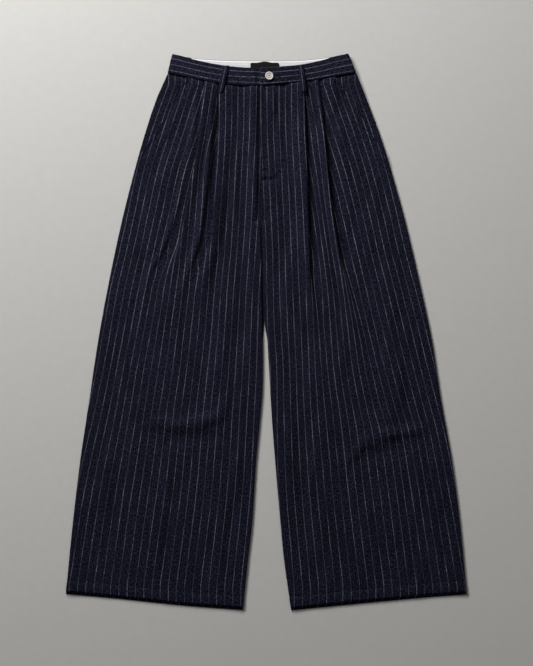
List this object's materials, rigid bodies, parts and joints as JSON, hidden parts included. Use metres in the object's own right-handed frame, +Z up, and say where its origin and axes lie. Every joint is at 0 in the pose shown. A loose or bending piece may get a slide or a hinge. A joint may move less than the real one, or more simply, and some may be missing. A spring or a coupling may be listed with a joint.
{
  "type": "pinstripe trousers",
  "caption": "Wide-leg pleated trousers in dark pinstripe cloth, laid flat face up, with waistband, belt loops, slanted pockets and a buttoned fly front.",
  "frame": {"origin": "on the surface the trousers lie on, under the middle of their outline", "axes": "+Y towards the waist, -Y towards the hems, +Z up out of the surface, +X to the wearer's left side"},
  "size_m": [0.7835, 1.0863, 0.0161],
  "materials": {
    "pinstripe_cloth": "dark navy twill with thin pale broken pinstripes, matt with a soft nap",
    "band_cloth": "the same pinstripe twill cut across, with lengthwise stripes",
    "white_lining": "plain white cotton",
    "black_label": "bare black woven satin label",
    "button_metal": "pale brushed metal"
  },
  "bodies": {
    "root": {"front_right": "pinstripe_cloth", "front_left": "pinstripe_cloth", "back_right": "pinstripe_cloth", "back_left": "pinstripe_cloth", "pocket_facing_right": "pinstripe_cloth", "pocket_facing_left": "pinstripe_cloth", "waistband": "band_cloth", "waistband_lining": "white_lining", "label": "black_label", "belt_loop_front_right": "band_cloth", "belt_loop_front_left": "band_cloth", "belt_loop_back_right": "band_cloth", "belt_loop_back_centre": "band_cloth", "belt_loop_back_left": "band_cloth", "button": "button_metal"}
  },
  "joints": []
}
